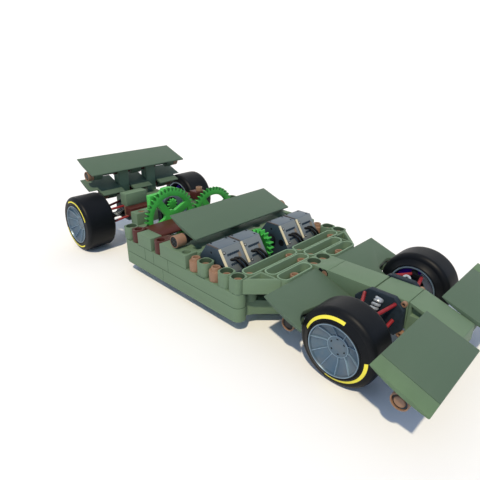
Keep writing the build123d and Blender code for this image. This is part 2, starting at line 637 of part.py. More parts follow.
# springs stand between the block and the outer end of the arms
with BuildPart() as coil_springs:
    for s in (-1, 1):
        strut((s * 1.62, -7.27, 2.98), (s * 2.3, -7.0, 1.9), 0.22 * PITCH)
    for s in (-1, 1):
        strut((s * 2.62, 18.45, 2.3), (s * 3.3, 18.45, 1.75), 0.25 * PITCH)

# steering knuckle: upright plate, two kingpin stubs, bearing for the wheel
def knuckle(s):
    box(s * KINGPIN_X - 0.22, s * KINGPIN_X + 0.22, -7.35, -6.65,
        STEER_ARM_Z[0] + 0.34, STEER_ARM_Z[1] - 0.16)
    rod_x(*FRONT_AXLE, s * KINGPIN_X - 0.22, s * KINGPIN_X + 0.22, 0.5 * PITCH)
    box(s * KINGPIN_X - 0.15, s * KINGPIN_X + 0.15, -6.7, -6.25, 1.85, 2.2)
    posts([(s * KINGPIN_X, -7.0)], STEER_ARM_Z[0] - 0.2, STEER_ARM_Z[1] + 0.2, 1.0)
    rod_x(*FRONT_AXLE, s * KINGPIN_X - 0.3, s * KINGPIN_X + 0.3,
          SHAFT_R + RUN, Mode.SUBTRACT)


with BuildPart() as knuckle_left:
    knuckle(1)
with BuildPart() as knuckle_right:
    knuckle(-1)


def caliper(s, x0, x1, y, z, r0, r1, a0, a1):
    """Sector of a ring beside the brake disc; angles from +y towards +z."""
    n = 6
    arc = [radians(a0 + (a1 - a0) * i / n) for i in range(n + 1)]
    pts = ([(y + r1 * cos(a), z + r1 * sin(a)) for a in arc]
           + [(y + r0 * cos(a), z + r0 * sin(a)) for a in reversed(arc)])
    side_poly(pts, min(s * x0, s * x1), max(s * x0, s * x1))


with BuildPart() as caliper_front_left:
    caliper(1, 3.68, 3.79, *FRONT_AXLE, 0.52, 1.32, 5, 107)
with BuildPart() as caliper_front_right:
    caliper(-1, 3.68, 3.79, *FRONT_AXLE, 0.52, 1.32, 5, 107)
with BuildPart() as rear_calipers:
    for s in (-1, 1):
        caliper(s, 4.92, 5.18, *REAR_AXLE, 0.84, 1.37, 15, 65)

# ================================================================ wheels
def tyre(s, x_in, x_out, y, z, r, rim, shoulder, slope):
    """Tyre ring: sidewalls lean inwards by slope, then rounded shoulders."""
    R, q, c, lean = r * PITCH, rim * PITCH, shoulder * PITCH, s * slope * PITCH
    with BuildSketch(Plane.XZ.offset(-Y(y))) as ring:
        with BuildLine():
            a, b = X(s * x_in), X(s * x_out)
            k = s * c
            h = Z(z)
            i, o = a + lean, b - lean
            Polyline((i, h + R - c), (a, h + q), (b, h + q), (o, h + R - c))
            ThreePointArc((o, h + R - c), (o - k * 0.293, h + R - c * 0.293),
                          (o - k, h + R))
            Line((o - k, h + R), (i + k, h + R))
            ThreePointArc((i + k, h + R), (i + k * 0.293, h + R - c * 0.293),
                          (i, h + R - c))
        make_face()
    revolve(ring.sketch, axis=Axis((0, Y(y), Z(z)), (1, 0, 0)))


def rim(s, x_in, x_out, y, z, r, x_disc, r_disc, shaft_in):
    """Barrel, dished spoked face, hub, brake disc and stub shaft, one piece.
    Outline in (x along the axle from the car's middle, radius)."""
    q = r * PITCH
    with BuildSketch(Plane.XZ.offset(-Y(y))) as ring:
        with BuildLine():
            h = Z(z)
            Polyline((X(s * x_in), h + q - 0.02), (X(s * x_out), h + q - 0.02),
                     (X(s * x_out), h + q - 0.12 * PITCH),
                     (X(s * (x_out - 0.55)), h + 0.62 * PITCH),
                     (X(s * (x_out - 0.55)), h),
                     (X(s * (x_out - 0.85)), h),
                     (X(s * (x_out - 0.85)), h + 0.7 * PITCH),
                     (X(s * (x_out - 0.45)), h + q - 0.14 * PITCH),
                     (X(s * x_in), h + q - 0.14 * PITCH), close=True)
        make_face()
    revolve(ring.sketch, axis=Axis((0, Y(y), Z(z)), (1, 0, 0)))
    rod_x(y, z, min(s * x_disc, s * (x_disc + 0.12)),
          max(s * x_disc, s * (x_disc + 0.12)), r_disc * PITCH)
    rod_x(y, z, min(s * shaft_in, s * (x_out - 0.8)),
          max(s * shaft_in, s * (x_out - 0.8)), SHAFT_R)


FR, RR = (*FRONT_X, *FRONT_AXLE), (*REAR_X, *REAR_AXLE)
with BuildPart() as tyre_front_left:
    tyre(1, *FR, FRONT_TYRE_R, FRONT_RIM_R, 0.36, 0.24)
with BuildPart() as tyre_front_right:
    tyre(-1, *FR, FRONT_TYRE_R, FRONT_RIM_R, 0.36, 0.24)
with BuildPart() as tyre_rear_left:
    tyre(1, *RR, REAR_TYRE_R, REAR_RIM_R, 0.36, 0.03)
with BuildPart() as tyre_rear_right:
    tyre(-1, *RR, REAR_TYRE_R, REAR_RIM_R, 0.36, 0.03)
with BuildPart() as rim_front_left:
    rim(1, *FR, FRONT_RIM_R, 3.84, 1.32, 3.2)
with BuildPart() as rim_front_right:
    rim(-1, *FR, FRONT_RIM_R, 3.84, 1.32, 3.2)
with BuildPart() as rim_rear_left:
    rim(1, *RR, REAR_RIM_R, 5.24, 1.24, 2.1)
with BuildPart() as rim_rear_right:
    rim(-1, *RR, REAR_RIM_R, 5.24, 1.24, 2.1)

# ================================================================ export
PARTS = {
    "side_beams_lower": side_beams_lower, "side_beams_upper": side_beams_upper,
    "floor_cross_beams": floor_cross_beams, "side_posts": side_posts,
    "side_blocks": side_blocks, "brown_beams": brown_beams,
    "motor_plate": motor_plate,
    "front_plate_row_a": front_plate_row_a,
    "front_plate_row_b": front_plate_row_b,
    "front_plate_row_c": front_plate_row_c,
    "front_corner_plates": front_corner_plates,
    "front_floor_plate": front_floor_plate,
    "front_spacer_posts": front_spacer_posts, "nose_root": nose_root,
    "nose_beam": nose_beam, "nose_cap": nose_cap, "nose_tip": nose_tip,
    "front_wings": front_wings, "front_wing_ends": front_wing_ends,
    "mid_wings": mid_wings, "centre_wing": centre_wing,
    "rear_lower_wing": rear_lower_wing, "rear_upper_wing": rear_upper_wing,
    "rear_wing_struts": rear_wing_struts, "wing_pins": wing_pins,
    "wing_bushings": wing_bushings, "bushings": bushings,
    "outer_motors": outer_motors, "inner_motors": inner_motors,
    "motor_leads": motor_leads, "motor_shaft": motor_shaft,
    "drive_gear": drive_gear, "gear_left": gear_left,
    "gear_right": gear_right, "gear_guard": gear_guard,
    "gear_bearings": gear_bearings,
    "rear_rails_lower": rear_rails_lower, "rear_rails_upper": rear_rails_upper,
    "tail_block": tail_block,
    "rear_gearbox": rear_gearbox, "gearbox_pinion": gearbox_pinion,
    "front_suspension_blocks": front_suspension_blocks,
    "rear_suspension_blocks": rear_suspension_blocks,
    "front_wishbones": front_wishbones, "rear_wishbones": rear_wishbones,
    "coil_springs": coil_springs,
    "rear_uprights": rear_uprights, "knuckle_left": knuckle_left,
    "knuckle_right": knuckle_right, "caliper_front_left": caliper_front_left,
    "caliper_front_right": caliper_front_right, "rear_calipers": rear_calipers,
    "tyre_front_left": tyre_front_left, "tyre_front_right": tyre_front_right,
    "tyre_rear_left": tyre_rear_left, "tyre_rear_right": tyre_rear_right,
    "rim_front_left": rim_front_left, "rim_front_right": rim_front_right,
    "rim_rear_left": rim_rear_left, "rim_rear_right": rim_rear_right,
}
for name, piece in PARTS.items():
    piece.part.label = name
    export_step(piece.part, f"parts/{name}.step")
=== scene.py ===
import bpy
import bmesh
import json
from math import atan2, cos, hypot, pi, radians, sin, sqrt
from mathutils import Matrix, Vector


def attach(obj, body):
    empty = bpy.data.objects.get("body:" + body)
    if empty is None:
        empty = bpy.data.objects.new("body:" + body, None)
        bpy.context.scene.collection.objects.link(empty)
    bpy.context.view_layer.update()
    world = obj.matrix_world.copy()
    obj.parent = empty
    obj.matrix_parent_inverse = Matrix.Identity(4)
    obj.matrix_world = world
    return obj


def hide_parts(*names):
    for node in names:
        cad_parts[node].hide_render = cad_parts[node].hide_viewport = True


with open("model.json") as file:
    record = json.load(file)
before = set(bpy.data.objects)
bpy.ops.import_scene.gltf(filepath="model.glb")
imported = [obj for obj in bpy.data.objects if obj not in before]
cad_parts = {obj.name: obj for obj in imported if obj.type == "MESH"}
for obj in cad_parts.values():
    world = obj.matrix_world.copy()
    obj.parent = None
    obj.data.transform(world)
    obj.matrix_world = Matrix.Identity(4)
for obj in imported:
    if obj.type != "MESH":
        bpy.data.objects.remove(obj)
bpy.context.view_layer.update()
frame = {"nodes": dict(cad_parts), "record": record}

# ------------------------------------------------------------ places
PITCH, Y_MID, Z_GROUND = 0.008, 4.534, -0.85
scene = bpy.context.scene


def P(x, y, z):
    return Vector((x * PITCH, (y - Y_MID) * PITCH, (z - Z_GROUND) * PITCH))


BODY_OF = {n: b for b, ns in frame["record"]["behaviour"]["bodies"].items() for n in ns}


# ------------------------------------------------------------ materials
def lin(c):
    out = []
    for v in c:
        v /= 255.0
        out.append(v / 12.92 if v <= 0.04045 else ((v + 0.055) / 1.055) ** 2.4)
    return out


def shade(c, k):
    return [min(1.0, v * k) for v in lin(c)] + [1.0]


def material(name, colour, rough=0.5, vary=0.12, scale=60.0, metal=0.0, spec=0.5,
             bump=0.08, fine=900.0, streak=(1, 1, 1), coat=0.0, cell=None, to=None):
    """Moulded surface: soft tone drift, streaks along the part and a fine grain."""
    m = bpy.data.materials.new(name)
    m.use_nodes = True
    nt = m.node_tree
    b = nt.nodes["Principled BSDF"]
    b.inputs["Metallic"].default_value = metal
    b.inputs["Specular IOR Level"].default_value = spec
    if coat:
        b.inputs["Coat Weight"].default_value = coat
        b.inputs["Coat Roughness"].default_value = 0.2
    tc = nt.nodes.new("ShaderNodeTexCoord")
    mp = nt.nodes.new("ShaderNodeMapping")
    mp.inputs["Scale"].default_value = streak
    nt.links.new(tc.outputs["Object"], mp.inputs["Vector"])
    n1 = nt.nodes.new("ShaderNodeTexNoise")
    n1.inputs["Scale"].default_value = scale
    n1.inputs["Detail"].default_value = 6.0
    n1.inputs["Roughness"].default_value = 0.6
    nt.links.new(mp.outputs["Vector"], n1.inputs["Vector"])
    ramp = nt.nodes.new("ShaderNodeValToRGB")
    e = ramp.color_ramp.elements
    e[0].position, e[0].color = 0.28, shade(colour, 1.0 - vary)
    e[1].position, e[1].color = 0.72, shade(to or colour, 1.0 + vary)
    nt.links.new(n1.outputs["Fac"], ramp.inputs["Fac"])
    if cell:
        vo = nt.nodes.new("ShaderNodeTexVoronoi")
        vo.inputs["Scale"].default_value = cell[0]
        nt.links.new(mp.outputs["Vector"], vo.inputs["Vector"])
        r2 = nt.nodes.new("ShaderNodeValToRGB")
        q = r2.color_ramp.elements
        q[0].position, q[0].color = cell[1], shade(cell[3], 1.0)
        q[1].position, q[1].color = cell[2], shade(colour, 1.0)
        nt.links.new(vo.outputs["Distance"], r2.inputs["Fac"])
        mx = nt.nodes.new("ShaderNodeMix")
        mx.data_type = "RGBA"
        mx.inputs["Factor"].default_value = 0.55
        colours = [k for k in mx.inputs if k.type == "RGBA"]
        nt.links.new(ramp.outputs["Color"], colours[0])
        nt.links.new(r2.outputs["Color"], colours[1])
        nt.links.new([k for k in mx.outputs if k.type == "RGBA"][0], b.inputs["Base Color"])
    else:
        nt.links.new(ramp.outputs["Color"], b.inputs["Base Color"])
    n2 = nt.nodes.new("ShaderNodeTexNoise")
    n2.inputs["Scale"].default_value = fine
    n2.inputs["Detail"].default_value = 3.0
    nt.links.new(tc.outputs["Object"], n2.inputs["Vector"])
    rr = nt.nodes.new("ShaderNodeMapRange")
    rr.inputs["To Min"].default_value = max(0.05, rough - 0.08)
    rr.inputs["To Max"].default_value = min(1.0, rough + 0.08)
    nt.links.new(n1.outputs["Fac"], rr.inputs["Value"])
    nt.links.new(rr.outputs["Result"], b.inputs["Roughness"])
    bp = nt.nodes.new("ShaderNodeBump")
    bp.inputs["Strength"].default_value = bump
    bp.inputs["Distance"].default_value = 0.0002
    nt.links.new(n2.outputs["Fac"], bp.inputs["Height"])
    nt.links.new(bp.outputs["Normal"], b.inputs["Normal"])
    return m


M = {
    "beam": material("plastic_beam_green", (99, 122, 99), 0.6, 0.08, 45, spec=0.25, streak=(1, 0.25, 3)),
    # darker copy of the beam green: painted shade in pockets and hole seats
    "beam_dark": material("plastic_beam_green_painted_recess_shade", (58, 76, 60), 0.6, 0.12, 45, spec=0.2),
    # lighter copy of the beam green: painted highlight on the pockets' rim tops
    "beam_edge": material("plastic_beam_green_painted_rim_highlight", (110, 136, 112), 0.55, 0.08, 45, spec=0.25),
    "seam_green": material("plastic_beam_joint_line", (62, 82, 64), 0.7, 0.15, 90, spec=0.1),
    "wing": material("plastic_wing_green", (80, 100, 84), 0.6, 0.05, 30, spec=0.2, streak=(0.3, 2, 2)),
    "wing_edge": material("plastic_wing_green_light", (94, 119, 90), 0.6, 0.08, 40, spec=0.25, streak=(0.5, 2, 1)),
    "brown": material("plastic_red_brown", (72, 34, 29), 0.5, 0.14, 70, spec=0.3),
    "tan": material("bushing_tan", (138, 108, 87), 0.5, 0.12, 160, spec=0.3),
    "black": material("black_plastic", (18, 21, 25), 0.42, 0.2, 120, spec=0.35),
    "lead": material("lead_black_insulation", (7, 8, 9), 0.5, 0.2, 200, spec=0.2),
    # near-black: painted shade in holes, slots, screw seats and dimples, and the damper rod's own black
    "dark": material("painted_recess_shade_and_damper_black", (10, 14, 18), 0.7, 0.2, 120, spec=0.2),
    "tyre": material("tyre_rubber", (14, 17, 21), 0.46, 0.15, 90, spec=0.16, bump=0.10),
    "yellow": material("tyre_band_yellow", (232, 222, 78), 0.6, 0.06, 200, spec=0.2),
    "rim": material("rim_blue_grey", (72, 102, 124), 0.34, 0.04, 120, metal=0.3, to=(98, 108, 116)),
    # lighter blue-grey: painted highlight on the rims' lips, hub edges and spokes
    "rim_light": material("rim_blue_grey_painted_edge_highlight", (128, 152, 170), 0.3, 0.1, 200, metal=0.4),
    # darker blue-grey: painted shade on the rim's inside behind the dish
    "rim_dark": material("rim_blue_grey_painted_inner_shade", (26, 38, 48), 0.5, 0.1, 70, spec=0.2),
    # near-white grey, far lighter than the metal: painted light inside the shaded wheel
    "disc": material("brake_disc_grey_lightened_as_painted_light", (222, 226, 230), 0.4, 0.08, 160, metal=0.1),
    # caliper purple, made about twice as light: painted light inside the shaded wheels
    "purple": material("caliper_purple", (84, 6, 190), 0.5, 0.1, 120, spec=0.2),
    "navy": material("mottled_navy_plastic", (32, 44, 54), 0.6, 0.35, 260, spec=0.25,
                     cell=(420, 0.1, 0.5, (16, 24, 32))),
    "red": material("rod_red", (136, 32, 38), 0.4, 0.12, 160, spec=0.4),
    "steel": material("spring_steel", (172, 180, 186), 0.38, 0.1, 300, metal=0.45),
    "motor": material("motor_blue_grey", (84, 98, 110), 0.42, 0.10, 60, metal=0.15, spec=0.4, streak=(0.4, 2, 2)),
    # lighter warm copy of the motor grey: painted light on the sloping fronts
    "motor_front": material("motor_front_painted_light_grey", (116, 124, 127), 0.42, 0.10, 60, metal=0.1, spec=0.4,
                            streak=(0.4, 2, 2)),
    # darker blue-grey copy of the motor colour: painted shade on the motor ends and in the bushings' small holes
    "motor_dark": material("motor_blue_grey_painted_shade", (44, 60, 72), 0.5, 0.12, 60, spec=0.3),
    "motor_warm": material("motor_patch_warm_grey", (122, 112, 98), 0.5, 0.1, 200, spec=0.3),
    "seam": material("motor_seam_brown_grey", (74, 66, 62), 0.6, 0.15, 200, spec=0.2),
    # blue-black: painted shade standing in for the grilles' open slots
    "slot": material("motor_slot_painted_shade_blue_black", (28, 44, 58), 0.6, 0.25, 400, spec=0.2),
    "cream": material("motor_strip_cream", (214, 204, 172), 0.5, 0.08, 200, spec=0.3),
    "screw": material("screw_steel", (188, 184, 172), 0.3, 0.1, 400, metal=0.6),
    "gear": material("gear_green", (64, 168, 70), 0.45, 0.08, 90, spec=0.3),
    # darker copy of the gear green: painted shade in tooth gaps and on the drive gear's -x face
    "gear_dark": material("gear_green_shade", (30, 100, 40), 0.5, 0.12, 90, spec=0.2),
    "floor": material("floor_pale", (240, 241, 242), 0.9, 0.01, 3, spec=0.1, bump=0.0),
}


# ------------------------------------------------------------ builders
def smooth(me, angle=32):
    me.polygons.foreach_set("use_smooth", [True] * len(me.polygons))
    me.set_sharp_from_angle(angle=radians(angle))


def bake(obj):
    """The object with its modifiers applied."""
    dg = bpy.context.evaluated_depsgraph_get()
    me = bpy.data.meshes.new_from_object(obj.evaluated_get(dg))
    old = obj.data
    obj.modifiers.clear()
    obj.data = me
    me.name = obj.name
    bpy.data.meshes.remove(old)


def bevelled(obj, width, segments=2, angle=38):
    if width > 0:
        mod = obj.modifiers.new("edge", "BEVEL")
        mod.width = width
        mod.segments = segments
        mod.limit_method = "ANGLE"
        mod.angle_limit = radians(angle)
        mod.use_clamp_overlap = True
        bake(obj)
    smooth(obj.data)


def place(obj, mat, body, nodes=(), extra=()):
    slots = obj.data.materials
    for i, k in enumerate((mat,) + tuple(extra)):
        if i < len(slots):
            slots[i] = M[k]
        else:
            slots.append(M[k])
    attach(obj, body)
    for n in nodes:
        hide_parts(n)
    return obj


def cad(node, mat, bevel=0.00022, segments=2, extra=(), pick=None):
    """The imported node's own shape with rounded edges."""
    me = frame["nodes"][node].data.copy()
    me.name = "look_" + node
    obj = bpy.data.objects.new("look_" + node, me)
    scene.collection.objects.link(obj)
    bm = bmesh.new()
    bm.from_mesh(me)
    bmesh.ops.remove_doubles(bm, verts=bm.verts, dist=2e-6)
    bmesh.ops.dissolve_limit(bm, angle_limit=radians(0.8), verts=bm.verts, edges=bm.edges)
    bmesh.ops.recalc_face_normals(bm, faces=bm.faces)
    for f in bm.faces:
        f.material_index = pick(f) if pick else 0
    me.materials.clear()
    for k in (mat,) + tuple(extra):
        me.materials.append(M[k])
    bm.to_mesh(me)
    bm.free()
    bevelled(obj, bevel, segments)
    return place(obj, mat, BODY_OF[node], [node], extra)


class Build:
    """A mesh put together from prisms, turned profiles and tubes.  All
    points are grid points; radii are in pitches."""

    def __init__(self, name):
        self.name, self.bm, self.mat = name, bmesh.new(), 0

    def face(self, verts):
        try:
            f = self.bm.faces.new(verts)
            f.material_index = self.mat
            return f
        except ValueError:
            return None

    def prism(self, pts, axis, a, b):
        """pts: outline in the two other axes, in x, y, z order."""
        def at(p, t):
            v = list(p)
            v.insert("xyz".index(axis), t)
            return P(*v)
        lo = [self.bm.verts.new(at(p, a)) for p in pts]
        hi = [self.bm.verts.new(at(p, b)) for p in pts]
        self.face(lo[::-1])
        self.face(hi)
        n = len(pts)
        for i in range(n):
            self.face((lo[i], lo[(i + 1) % n], hi[(i + 1) % n], hi[i]))

    def box(self, x0, x1, y0, y1, z0, z1):
        self.prism([(x0, y0), (x1, y0), (x1, y1), (x0, y1)], "z", z0, z1)

    def ring(self, pts, axis, c, seg=64, turn=0.0, closed=True):
        """Outline (t along the axis, r) turned about the axis through c."""
        i = "xyz".index(axis)
        o = [k for k in range(3) if k != i]
        rows = []
        for k in range(seg):
            a = turn + 2 * pi * k / seg
            row = []
            for t, r in pts:
                v = [0, 0, 0]
                v[i] = t
                v[o[0]] = c[0] + r * cos(a)
                v[o[1]] = c[1] + r * sin(a)
                row.append(self.bm.verts.new(P(*v)))
            rows.append(row)
        n = len(pts)
        for k in range(seg):
            r0, r1 = rows[k], rows[(k + 1) % seg]
            for j in range(n if closed else n - 1):
                self.face((r0[j], r1[j], r1[(j + 1) % n], r0[(j + 1) % n]))

    def disc(self, axis, c, a, b, r, seg=32, turn=0.0):
        """Closed round bar."""
        pts = [(c[0] + r * cos(turn + 2 * pi * k / seg), c[1] + r * sin(turn + 2 * pi * k / seg))
               for k in range(seg)]
        self.prism(pts, axis, a, b)

    def washer(self, axis, c, a, b, r0, r1, seg=32):
        self.ring([(a, r0), (b, r0), (b, r1), (a, r1)], axis, c, seg)

    def sector(self, axis, c, a, b, r0, r1, t0, t1, seg=24):
        """Part of a washer between two angles."""
        out = [(c[0] + r1 * cos(t0 + (t1 - t0) * k / seg), c[1] + r1 * sin(t0 + (t1 - t0) * k / seg))
               for k in range(seg + 1)]
        inn = [(c[0] + r0 * cos(t0 + (t1 - t0) * k / seg), c[1] + r0 * sin(t0 + (t1 - t0) * k / seg))
               for k in range(seg + 1)]
        i = "xyz".index(axis)

        def at(p, t):
            v = list(p)
            v.insert(i, t)
            return self.bm.verts.new(P(*v))
        A = [(at(out[k], a), at(inn[k], a), at(out[k], b), at(inn[k], b)) for k in range(seg + 1)]
        for k in range(seg):
            p, q = A[k], A[k + 1]
            self.face((p[0], q[0], q[1], p[1]))
            self.face((p[2], p[3], q[3], q[2]))
            self.face((p[0], p[2], q[2], q[0]))
            self.face((p[1], q[1], q[3], p[3]))
        for p in (A[0], A[-1]):
            self.face((p[0], p[1], p[3], p[2]))

    def tube(self, path, r, seg=10, cap=True):
        """Round tube of radius r (pitches) along grid points."""
        pts = [P(*p) for p in path]
        n = len(pts)
        up = Vector((0.137, 0.211, 0.969))
        prev = None
        for i, p in enumerate(pts):
            d = (pts[min(i + 1, n - 1)] - pts[max(i - 1, 0)]).normalized()
            if prev is None:
                u = up - d * up.dot(d)
                if u.length < 1e-3:
                    u = Vector((1, 0, 0)) - d * d.x
            else:
                u = axis_u - d * axis_u.dot(d)
            u.normalize()
            axis_u = u
            w = d.cross(u)
            row = [self.bm.verts.new(p + (u * cos(2 * pi * k / seg) + w * sin(2 * pi * k / seg)) * r * PITCH)
                   for k in range(seg)]
            if prev:
                for k in range(seg):
                    self.face((prev[k], prev[(k + 1) % seg], row[(k + 1) % seg], row[k]))
            elif cap:
                self.face(row[::-1])
            prev = row
        if cap:
            self.face(prev)

    def arc(self, pts, c, t0, t1, seg=40):
        """Closed (x, r) outline turned about the X axis from t0 to t1."""
        rows = []
        for k in range(seg + 1):
            a = t0 + (t1 - t0) * k / seg
            rows.append([self.bm.verts.new(P(x, c[0] + r * cos(a), c[1] + r * sin(a))) for x, r in pts])
        n = len(pts)
        for A, B in zip(rows, rows[1:]):
            for j in range(n):
                self.face((A[j], B[j], B[(j + 1) % n], A[(j + 1) % n]))
        self.face(rows[0])
        self.face(rows[-1][::-1])

    def block(self, at, u0, u1, v0, v1, w0, w1):
        """Box in a slanted frame: at(u, v, w) gives the grid point."""
        v = [self.bm.verts.new(P(*at(u, q, w))) for w in (w0, w1) for u, q in
             ((u0, v0), (u1, v0), (u1, v1), (u0, v1))]
        for k in ((3, 2, 1, 0), (4, 5, 6, 7), (0, 1, 5, 4), (1, 2, 6, 5), (2, 3, 7, 6), (3, 0, 4, 7)):
            self.face([v[i] for i in k])

    def stud(self, at, u, v, r, w0, w1, seg=14):
        """Round stud in a slanted frame whose u and v are true lengths."""
        lo = [self.bm.verts.new(P(*at(u + r * cos(2 * pi * k / seg), v + r * sin(2 * pi * k / seg), w0)))
              for k in range(seg)]
        hi = [self.bm.verts.new(P(*at(u + r * cos(2 * pi * k / seg), v + r * sin(2 * pi * k / seg), w1)))
              for k in range(seg)]
        self.face(lo[::-1])
        self.face(hi)
        for k in range(seg):
            self.face((lo[k], lo[(k + 1) % seg], hi[(k + 1) % seg], hi[k]))

    def done(self, mat, body, slot, nodes=(), bevel=0.0, segments=2, extra=(), angle=38):
        bm = self.bm
        bmesh.ops.recalc_face_normals(bm, faces=bm.faces)
        me = bpy.data.meshes.new(self.name)
        bm.to_mesh(me)
        bm.free()
        obj = bpy.data.objects.new(self.name, me)
        scene.collection.objects.link(obj)
        me.materials.append(M[mat])
        for k in extra:
            me.materials.append(M[k])
        bevelled(obj, bevel, segments, angle)
        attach(obj, body)
        for n in nodes:
            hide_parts(n)
        return obj


# ------------------------------------------------------------ plain members
def grid_z(f):
    return f.calc_center_median().z / PITCH + Z_GROUND


def inside_hole(f, r):
    """True for faces of a sunk seat: close to the hole's axis, below the top."""
    q = f.calc_center_median()
    x, y = abs(q.x / PITCH), q.y / PITCH + Y_MID
    away = hypot(x - 5.5, y - round(y))
    return grid_z(f) < 2.985 and away < r and grid_z(f) > 2.05


for node in ("side_beams_lower", "side_beams_upper", "side_blocks"):
    cad(node, "beam", 0.00042, 3)
# faces of the sunk hole seats are painted darker: painted shade in the holes
cad("side_posts", "beam", 0.0003, 2, ("beam_dark",),
    lambda f: 1 if inside_hole(f, 0.425) and abs(f.normal.z) < 2 else 0)
for node in ("floor_cross_beams", "front_corner_plates", "front_floor_plate", "front_spacer_posts",
             "motor_plate", "rear_rails_lower", "rear_rails_upper", "tail_block", "rear_wing_struts"):
    cad(node, "beam", 0.0003)


def trough_faces(f):
    """1 for the pocket's floor, 2 for the rim's top, 3 for the dimples; the darker floor and the near-black dimples are
    painted shade, the lighter rim top is a painted highlight.
    """
    z = grid_z(f)
    if f.normal.z > 0.9:
        return 2 if z > 2.98 else 3 if z < 2.42 else 1
    return 3 if 2.345 < z < 2.44 else 0


for node in ("front_plate_row_a", "front_plate_row_b", "front_plate_row_c"):
    cad(node, "beam", 0.00016, 2, ("beam_dark", "beam_edge", "dark"), trough_faces)
# faces of the nose root's hole seats are painted darker: painted shade in the holes
cad("nose_root", "beam", 0.0001, 2, ("beam_dark",),
    lambda f: 1 if hypot(abs(f.calc_center_median().x / PITCH) - 0.5,
                         f.calc_center_median().y / PITCH + Y_MID + 2.0) < 0.45 and grid_z(f) < 2.985
    and grid_z(f) > 2.1 else 0)
for node in ("nose_beam", "nose_cap", "nose_tip"):
    cad(node, "beam", 0.0004, 3)
cad("brown_beams", "brown", 0.0003)
for node in ("front_wings", "mid_wings", "centre_wing", "rear_lower_wing", "rear_upper_wing"):
    cad(node, "wing", 0.00015)
cad("front_wing_ends", "wing_edge", 0.00015)
cad("wing_pins", "black", 0.0001)
cad("bushings", "tan", 0.00025)
cad("motor_shaft", "black", 0.0002)


def tooth_faces(c, axis, inner, outer):
    """1, painted shade in a darker green, for the gaps between the teeth and for the front's inner ring."""
    def pick(f):
        p = f.calc_center_median()
        q = (p.x / PITCH, p.y / PITCH + Y_MID, p.z / PITCH + Z_GROUND)
        o = [k for k in range(3) if k != "xyz".index(axis)]
        r = hypot(q[o[0]] - c[0], q[o[1]] - c[1])
        flat = abs(f.normal["xyz".index(axis)]) > 0.9
        return 1 if not flat and inner < r < outer else 0
    return pick


# the drive gear's -x face and the other gears' tooth gaps take the darker green: painted shade
cad("drive_gear", "gear", 0.0001, 2, ("gear_dark",),
    lambda f: 1 if f.normal.x < -0.9 else 0)
cad("gear_left", "gear", 0.0001, 2, ("gear_dark",), tooth_faces((-2.20, 3.10), "y", 2.05, 2.40))
cad("gear_right", "gear", 0.0001, 2, ("gear_dark",), tooth_faces((2.42, 2.24), "y", 2.05, 2.40))
cad("gear_guard", "gear", 0.0002)
cad("gear_bearings", "black")
cad("rear_gearbox", "motor", 0.0003)
cad("gearbox_pinion", "gear", 0.0001, 2, ("black",),
    lambda f: 1 if f.calc_center_median().y / PITCH + Y_MID > 13.615 else 0)
for node in ("front_suspension_blocks", "rear_suspension_blocks"):
    cad(node, "navy", 0.0004, 3)
# the eyes and their flat plate are black, the rods red
cad("front_wishbones", "red", 0.0001, 2, ("black",),
    lambda f: 1 if abs(f.calc_center_median().x / PITCH) > 2.99 or abs(f.normal.z) > 0.999 else 0)
cad("rear_wishbones", "red", 0.0001)
for node in ("rear_uprights", "knuckle_left", "knuckle_right"):
    cad(node, "black")
# calipers in a purple lighter than their own: painted light inside the shaded wheels
for node in ("caliper_front_left", "caliper_front_right", "rear_calipers"):
    cad(node, "purple")
# the end faces are painted darker (painted shade) and the sloping fronts lighter (painted light)
for node in ("outer_motors", "inner_motors"):
    cad(node, "motor", 0.0005, 3, ("motor_dark", "motor_front"),
        lambda f: 1 if abs(f.normal.x) > 0.9 else 2 if f.normal.y < -0.6 and f.normal.z > 0.3 else 0)

# joint lines between the layers and the ends of the side beams
g = Build("side_beam_joint_lines")
for s in (-1, 1):
    a, b = sorted((s * 5.97, s * 6.004))
    g.box(a, b, 0.0, 11.9, 0.982, 1.018)
    # round the front end of the beams
    t0, t1 = (-pi / 2 - 0.8, 0.0) if s > 0 else (-pi, -pi / 2 + 0.8)
    g.sector("z", (s * 5.5, 0.0), 0.982, 1.018, 0.46, 0.504, t0, t1, 20)
    g.sector("z", (s * 5.5, 0.0), 1.984, 2.014, 0.46, 0.504, t0, t1, 20)
    for y0, y1 in ((2.53, 3.47), (4.52, 7.48), (8.62, 10.38), (11.53, 12.0)):
        g.box(a, b, y0, y1, 1.984, 2.014)
    for y in (6.62, 8.42, 9.52):
        g.box(a, b, y - 0.016, y + 0.016, 1.02, 1.98)
    g.box(a, b, 7.30, 7.33, 0.06, 0.98)
g.done("seam_green", "root", "beam_green")

# ------------------------------------------------------------ motor fittings
SL = hypot(0.96, 1.49)


def slope(u, v, w):
    """Frame of the motors' sloping front: u along x, v up the slope from the
    corner line, w out of the face."""
    k, m = 0.96 / SL, 1.49 / SL
    return (u, 1.78 + v * k - w * m, 2.9 + v * m + w * k)


def top(u, v, w):
    return (u, v, 3.83 + w)


def motor_end(x):
    return lambda u, v, w: (x - w, u, v)


